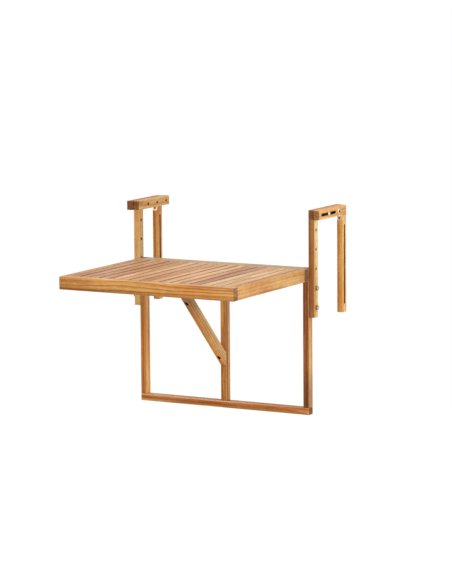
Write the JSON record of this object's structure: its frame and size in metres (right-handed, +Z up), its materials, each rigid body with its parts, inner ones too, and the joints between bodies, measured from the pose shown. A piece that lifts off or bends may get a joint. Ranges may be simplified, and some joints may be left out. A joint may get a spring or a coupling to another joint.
{
  "type": "balcony hanging table",
  "caption": "Slatted wooden balcony table that hooks over a railing on two sliding hangers, with a frame and a slanting strut under the top.",
  "frame": {"origin": "midway between the two hangers, in the middle of the railing gap, in the plane of the arms' undersides where they rest on the railing", "axes": "+X along the railing to the user's right, +Y from the user towards the railing, +Z up"},
  "size_m": [0.6894, 0.672, 0.637],
  "materials": {
    "slat_wood": "oiled acacia, planed, eased edges",
    "top_rail_wood": "oiled acacia, planed, eased edges",
    "frame_wood": "oiled acacia, planed, eased edges",
    "hanger_wood": "oiled acacia, planed, eased edges",
    "zinc_steel": "zinc plated, satin"
  },
  "bodies": {
    "table": {"slat_01": "slat_wood", "slat_02": "slat_wood", "slat_03": "slat_wood", "slat_04": "slat_wood", "slat_05": "slat_wood", "slat_06": "slat_wood", "slat_07": "slat_wood", "slat_08": "slat_wood", "slat_09": "slat_wood", "slat_10": "slat_wood", "slat_11": "slat_wood", "slat_12": "slat_wood", "slat_13": "slat_wood", "slat_14": "slat_wood", "slat_15": "slat_wood", "slat_16": "slat_wood", "front_rail": "top_rail_wood", "back_rail": "top_rail_wood", "left_side_rail": "top_rail_wood", "right_side_rail": "top_rail_wood", "mid_batten": "top_rail_wood", "strut_cleat": "top_rail_wood", "left_stile": "frame_wood", "right_stile": "frame_wood", "bottom_rail": "frame_wood", "head_rail": "frame_wood", "mullion": "frame_wood", "strut": "frame_wood", "slat_screws": "zinc_steel", "head_rail_screws": "zinc_steel", "strut_foot_screw": "zinc_steel", "strut_head_screw": "zinc_steel", "left_post": "hanger_wood", "left_inner_bar": "hanger_wood", "left_slide_bolt": "zinc_steel", "left_slide_insert": "zinc_steel", "left_post_bolts": "zinc_steel", "left_post_washers": "zinc_steel", "left_post_inserts": "zinc_steel", "right_post": "hanger_wood", "right_inner_bar": "hanger_wood", "right_slide_bolt": "zinc_steel", "right_slide_insert": "zinc_steel", "right_post_bolts": "zinc_steel", "right_post_washers": "zinc_steel", "right_post_inserts": "zinc_steel"},
    "left_hook": {"left_outer_bar": "hanger_wood", "left_drop_leg": "hanger_wood", "left_leg_bracket": "zinc_steel", "left_bracket_screws": "zinc_steel", "left_lock_screw": "zinc_steel"},
    "right_hook": {"right_outer_bar": "hanger_wood", "right_drop_leg": "hanger_wood", "right_leg_bracket": "zinc_steel", "right_bracket_screws": "zinc_steel", "right_lock_screw": "zinc_steel"}
  },
  "joints": [
    {"name": "left_hook_slide", "type": "slide", "parent": "table", "child": "left_hook", "axis": [0, 1, 0], "range_m": [-0.045, 0.045]},
    {"name": "right_hook_slide", "type": "slide", "parent": "table", "child": "right_hook", "axis": [0, 1, 0], "range_m": [-0.045, 0.045]}
  ]
}
